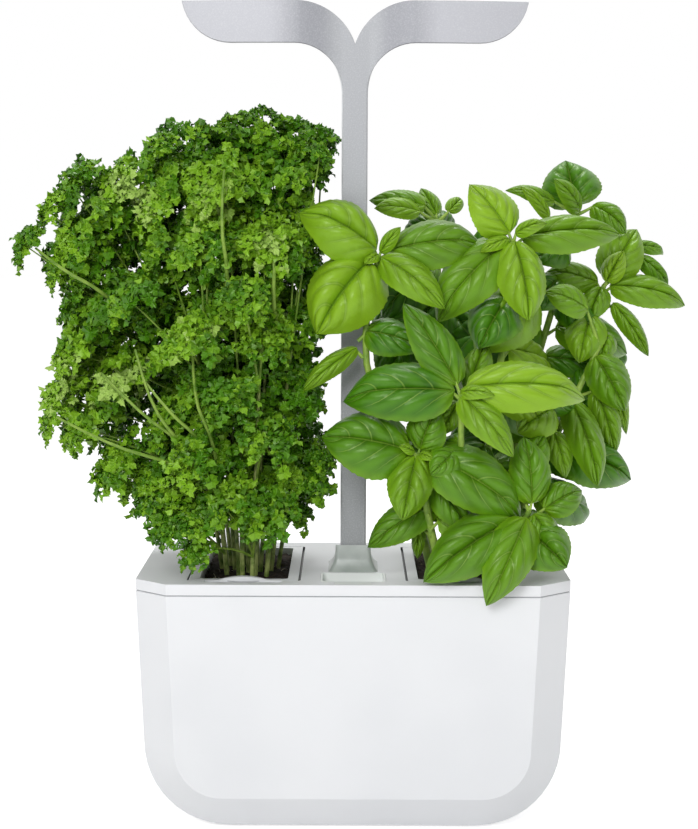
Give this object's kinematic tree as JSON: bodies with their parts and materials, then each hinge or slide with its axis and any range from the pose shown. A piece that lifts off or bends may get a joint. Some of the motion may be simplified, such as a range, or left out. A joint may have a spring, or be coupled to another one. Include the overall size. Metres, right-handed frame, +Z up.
{
  "type": "countertop hydroponic garden",
  "caption": "Tabletop self-watering planter: a water pot with a lift-off deck, planted baskets, a filling recess, a level float and a sprout-shaped lamp on a sliding mast.",
  "frame": {"origin": "on the surface that the pot stands on, under the middle of the pot", "axes": "+X to the right seen from the front, +Y to the back, +Z up along the mast"},
  "size_m": [0.47, 0.2079, 0.5536],
  "materials": {
    "pot_plastic": "satin white moulded plastic",
    "deck_plastic": "satin white moulded plastic",
    "inner_plastic": "plain white moulded plastic",
    "frosted_plastic": "frosted translucent grey-green plastic",
    "pad_rubber": "matte dark rubber",
    "glide_plastic": "slippery dark plastic",
    "screw_steel": "zinc-plated steel",
    "pod_plastic": "dark thin-walled pod",
    "growing_plug": "damp dark coco plug",
    "wick_felt": "undyed felt",
    "silver_finish": "plastic with a fine silver metallic finish",
    "lamp_white": "satin white moulded plastic",
    "board_white": "white solder mask",
    "driver_green": "green solder mask",
    "led_phosphor": "yellow phosphor",
    "diffuser_plastic": "milky clear plastic",
    "black_plastic": "black moulded plastic",
    "pin_brass": "bright brass",
    "cap_grey": "grey moulded plastic",
    "float_foam": "orange closed-cell float",
    "parsley_leaf": "matte curled leaf",
    "basil_leaf": "glossy leaf"
  },
  "bodies": {
    "pot": {"outer_pot": "pot_plastic", "foot_pads": "pad_rubber"},
    "deck": {"deck_cover": "deck_plastic", "mast_collar": "frosted_plastic", "mast_well": "inner_plastic", "well_glides": "glide_plastic", "well_screws": "screw_steel", "fill_funnel": "frosted_plastic", "level_window": "frosted_plastic", "float_guide": "inner_plastic", "basket_left": "deck_plastic", "basket_right": "deck_plastic", "pod_left": "pod_plastic", "pod_right": "pod_plastic", "substrate_left": "growing_plug", "substrate_right": "growing_plug", "wick_left": "wick_felt", "wick_right": "wick_felt", "parsley_plant": "parsley_leaf", "basil_plant": "basil_leaf"},
    "lamp": {"lamp_shell": "silver_finish", "lamp_cover": "lamp_white", "led_board_left": "board_white", "led_board_right": "board_white", "led_chips": "led_phosphor", "diffuser_left": "diffuser_plastic", "diffuser_right": "diffuser_plastic", "driver_board": "driver_green", "dc_inlet": "black_plastic", "dc_pin": "pin_brass", "tact_switch": "black_plastic", "lamp_screws": "screw_steel", "mast_cap": "cap_grey"},
    "button": {"power_button": "lamp_white"},
    "float": {"water_float": "float_foam"}
  },
  "joints": [
    {"name": "deck_lift", "type": "slide", "parent": "pot", "child": "deck", "axis": [0, 0, 1], "range_m": [0, 0.17]},
    {"name": "lamp_height", "type": "slide", "parent": "deck", "child": "lamp", "axis": [0, 0, 1], "range_m": [-0.03, 0.1]},
    {"name": "button_press", "type": "slide", "parent": "lamp", "child": "button", "axis": [0, -1, 0], "range_m": [0, 0.0008], "stiffness_N_per_m": 300},
    {"name": "float_rise", "type": "slide", "parent": "deck", "child": "float", "axis": [0, 0, 1], "range_m": [0, 0.074]}
  ]
}
